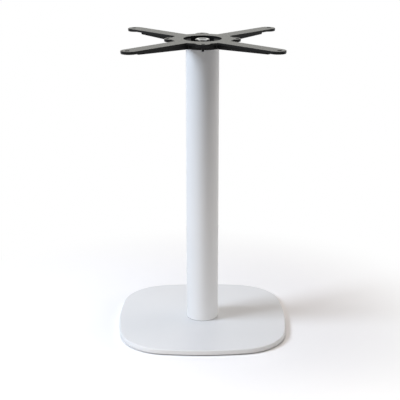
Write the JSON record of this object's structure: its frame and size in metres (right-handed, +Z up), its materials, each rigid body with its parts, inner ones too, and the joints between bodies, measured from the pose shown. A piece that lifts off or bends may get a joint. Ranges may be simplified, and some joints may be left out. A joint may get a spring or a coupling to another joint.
{
  "type": "pedestal table base",
  "caption": "Pedestal table base: a white tube column on a rounded-square floor plate, topped by a black cast spider with drilled arms and lugs for a table top.",
  "frame": {"origin": "on the floor, under the middle of the plate and on the column's axis", "axes": "+Z up along the column, X and Y square to the plate's sides, with the spider's arms on the diagonals"},
  "size_m": [0.424, 0.424, 0.728],
  "materials": {
    "white_coat": "satin white powder coat on steel",
    "black_coat": "satin black powder coat on a casting",
    "zinc": "bright zinc plating",
    "plain_steel": "plain turned steel",
    "glide_plastic": "black moulded polyethylene"
  },
  "bodies": {
    "root": {"base_plate": "white_coat", "column_tube": "white_coat", "top_spider": "black_coat", "tie_rod": "zinc", "top_nut": "zinc", "top_washer": "zinc", "lock_nut": "zinc", "lock_washer": "zinc", "locating_disc": "plain_steel", "glide_front_left": "glide_plastic", "glide_front_right": "glide_plastic", "glide_back_left": "glide_plastic", "glide_back_right": "glide_plastic"}
  },
  "joints": []
}
